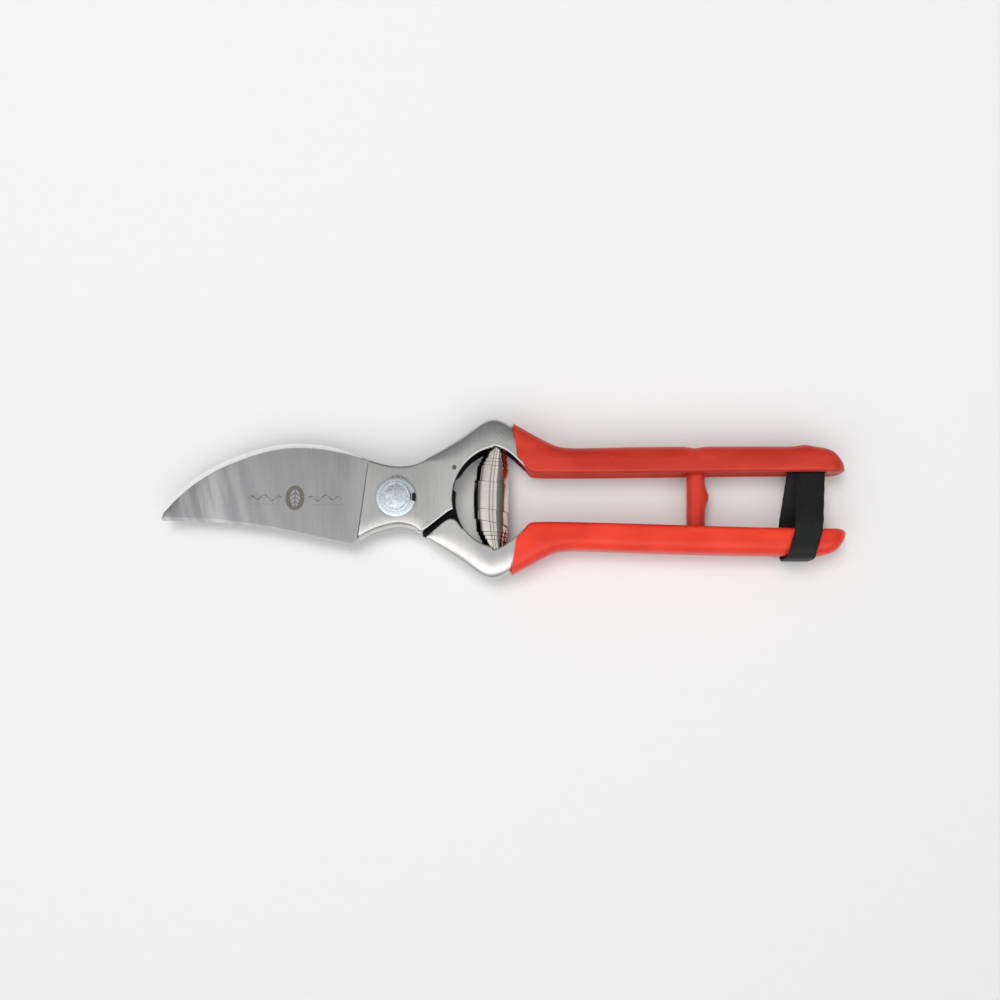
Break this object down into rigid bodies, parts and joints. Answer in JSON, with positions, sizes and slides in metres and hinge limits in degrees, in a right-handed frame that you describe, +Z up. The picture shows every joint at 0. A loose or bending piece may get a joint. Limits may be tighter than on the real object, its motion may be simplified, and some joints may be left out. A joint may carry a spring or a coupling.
{
  "type": "bypass pruning shears",
  "caption": "Pressed-steel bypass pruning shears with a crescent blade, a hooked counter blade, a barrel volute spring between the shoulders, dipped red handles and a closing strap.",
  "frame": {"origin": "centre of the bounding box on the plane that the shears lie on; the pivot axis is 31.8 mm from it towards the blades", "axes": "+X from the blades to the handle ends, +Y towards the upper handle (the one that carries the front blade), +Z up along the pivot axis, out of the plane that the shears lie on"},
  "size_m": [0.2107, 0.0496, 0.0141],
  "materials": {
    "satin_steel": "brushed and ground pressed carbon steel with fine lengthways and crossways grain",
    "zinc_plate": "bright bluish zinc plating, slightly mottled",
    "bright_strip": "bright rolled spring strip",
    "dark_steel": "dark oiled steel",
    "red_vinyl": "dipped orange-red vinyl, smooth with a soft gloss",
    "black_leather": "thin black leather strap, lightly grained"
  },
  "bodies": {
    "upper_lever": {"upper_lever": "satin_steel", "upper_grip_sleeve": "red_vinyl", "pivot_bolt": "zinc_plate", "bolt_lock_peg": "dark_steel", "pivot_washer": "zinc_plate", "pivot_nut": "zinc_plate", "volute_spring": "bright_strip", "upper_spring_peg": "dark_steel", "stop_rod": "dark_steel", "strap_rivet": "zinc_plate", "strap_rivet_burr": "zinc_plate"},
    "lower_lever": {"lower_lever": "satin_steel", "lower_grip_sleeve": "red_vinyl", "lower_spring_peg": "dark_steel"},
    "strap": {"closing_strap": "black_leather"}
  },
  "joints": [
    {"name": "main_pivot", "type": "hinge", "parent": "upper_lever", "child": "lower_lever", "pos_m": [-0.0318, 0, 0.00705], "axis": [0, 0, -1], "range_deg": [0, 28], "deforming": ["volute_spring", "closing_strap"]},
    {"name": "strap_swing", "type": "hinge", "parent": "upper_lever", "child": "strap", "pos_m": [0.094, 0.0123, 0.00705], "axis": [0, 0, 1], "range_deg": [0, 45], "deforming": ["closing_strap"]}
  ]
}
